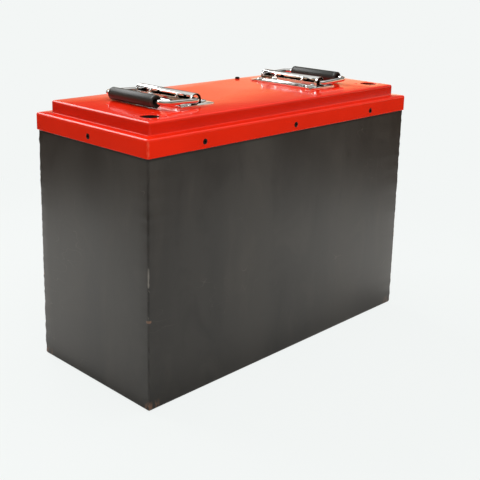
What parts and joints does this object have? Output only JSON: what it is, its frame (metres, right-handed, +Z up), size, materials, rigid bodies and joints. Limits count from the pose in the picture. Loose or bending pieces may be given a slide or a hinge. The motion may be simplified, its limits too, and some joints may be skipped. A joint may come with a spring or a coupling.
{
  "type": "battery pack",
  "caption": "Boxed lithium battery pack: charcoal steel case, stepped red lid with two folding carry handles, recessed terminals, and a cell block inside.",
  "frame": {"origin": "middle of the case underside", "axes": "+X along the length, +Y across the width away from the front, +Z up"},
  "size_m": [0.384, 0.17, 0.2799],
  "materials": {
    "case_black": "satin dark charcoal powder coat",
    "lid_red": "glossy orange-red powder coat",
    "foam": "closed-cell foam rubber",
    "black_oxide": "black oxide screws",
    "chrome": "bright plated steel",
    "grip_rubber": "satin moulded rubber",
    "moulded_black": "moulded black nylon",
    "brass": "machined brass",
    "cell_film": "blue insulating film over an aluminium can",
    "aluminium": "bare aluminium",
    "strap_steel": "thin steel banding",
    "resin_board": "glass-filled resin board",
    "green_board": "green epoxy board",
    "cable_red": "red silicone cable",
    "cable_black": "black silicone cable"
  },
  "bodies": {
    "pack": {"case_body": "case_black", "lid": "lid_red", "lid_gasket": "foam", "bottom_pad": "foam", "side_pad_front": "foam", "side_pad_rear": "foam", "lid_screw_front_1": "black_oxide", "lid_screw_front_2": "black_oxide", "lid_screw_front_3": "black_oxide", "lid_screw_rear_1": "black_oxide", "lid_screw_rear_2": "black_oxide", "lid_screw_rear_3": "black_oxide", "lid_screw_left": "black_oxide", "lid_screw_right": "black_oxide", "left_handle_plate": "chrome", "left_handle_rivet_1": "chrome", "left_handle_rivet_2": "chrome", "left_handle_rivet_3": "chrome", "left_handle_rivet_4": "chrome", "right_handle_plate": "chrome", "right_handle_rivet_1": "chrome", "right_handle_rivet_2": "chrome", "right_handle_rivet_3": "chrome", "right_handle_rivet_4": "chrome", "vent_plug": "moulded_black", "positive_terminal_cup": "moulded_black", "negative_terminal_cup": "moulded_black", "positive_terminal_insert": "brass", "negative_terminal_insert": "brass", "cell_1": "cell_film", "cell_2": "cell_film", "cell_3": "cell_film", "cell_4": "cell_film", "cell_5": "cell_film", "cell_6": "cell_film", "cell_7": "cell_film", "cell_8": "cell_film", "busbar_1": "aluminium", "busbar_2": "aluminium", "busbar_3": "aluminium", "busbar_4": "aluminium", "busbar_5": "aluminium", "busbar_6": "aluminium", "busbar_7": "aluminium", "bms_heatsink": "aluminium", "strap_1": "strap_steel", "strap_2": "strap_steel", "end_plate_left": "resin_board", "end_plate_right": "resin_board", "cell_cover_board": "green_board", "bms_board": "green_board", "positive_cable": "cable_red", "cell_to_bms_cable": "cable_black", "bms_to_terminal_cable": "cable_black"},
    "left_handle": {"left_bail": "chrome", "left_grip": "grip_rubber"},
    "right_handle": {"right_bail": "chrome", "right_grip": "grip_rubber"}
  },
  "joints": [
    {"name": "left_handle_hinge", "type": "hinge", "parent": "pack", "child": "left_handle", "pos_m": [-0.091, 0.006, 0.2722], "axis": [0, 1, 0], "range_deg": [0, 90]},
    {"name": "right_handle_hinge", "type": "hinge", "parent": "pack", "child": "right_handle", "pos_m": [0.0965, 0.006, 0.2722], "axis": [0, -1, 0], "range_deg": [0, 90]}
  ]
}
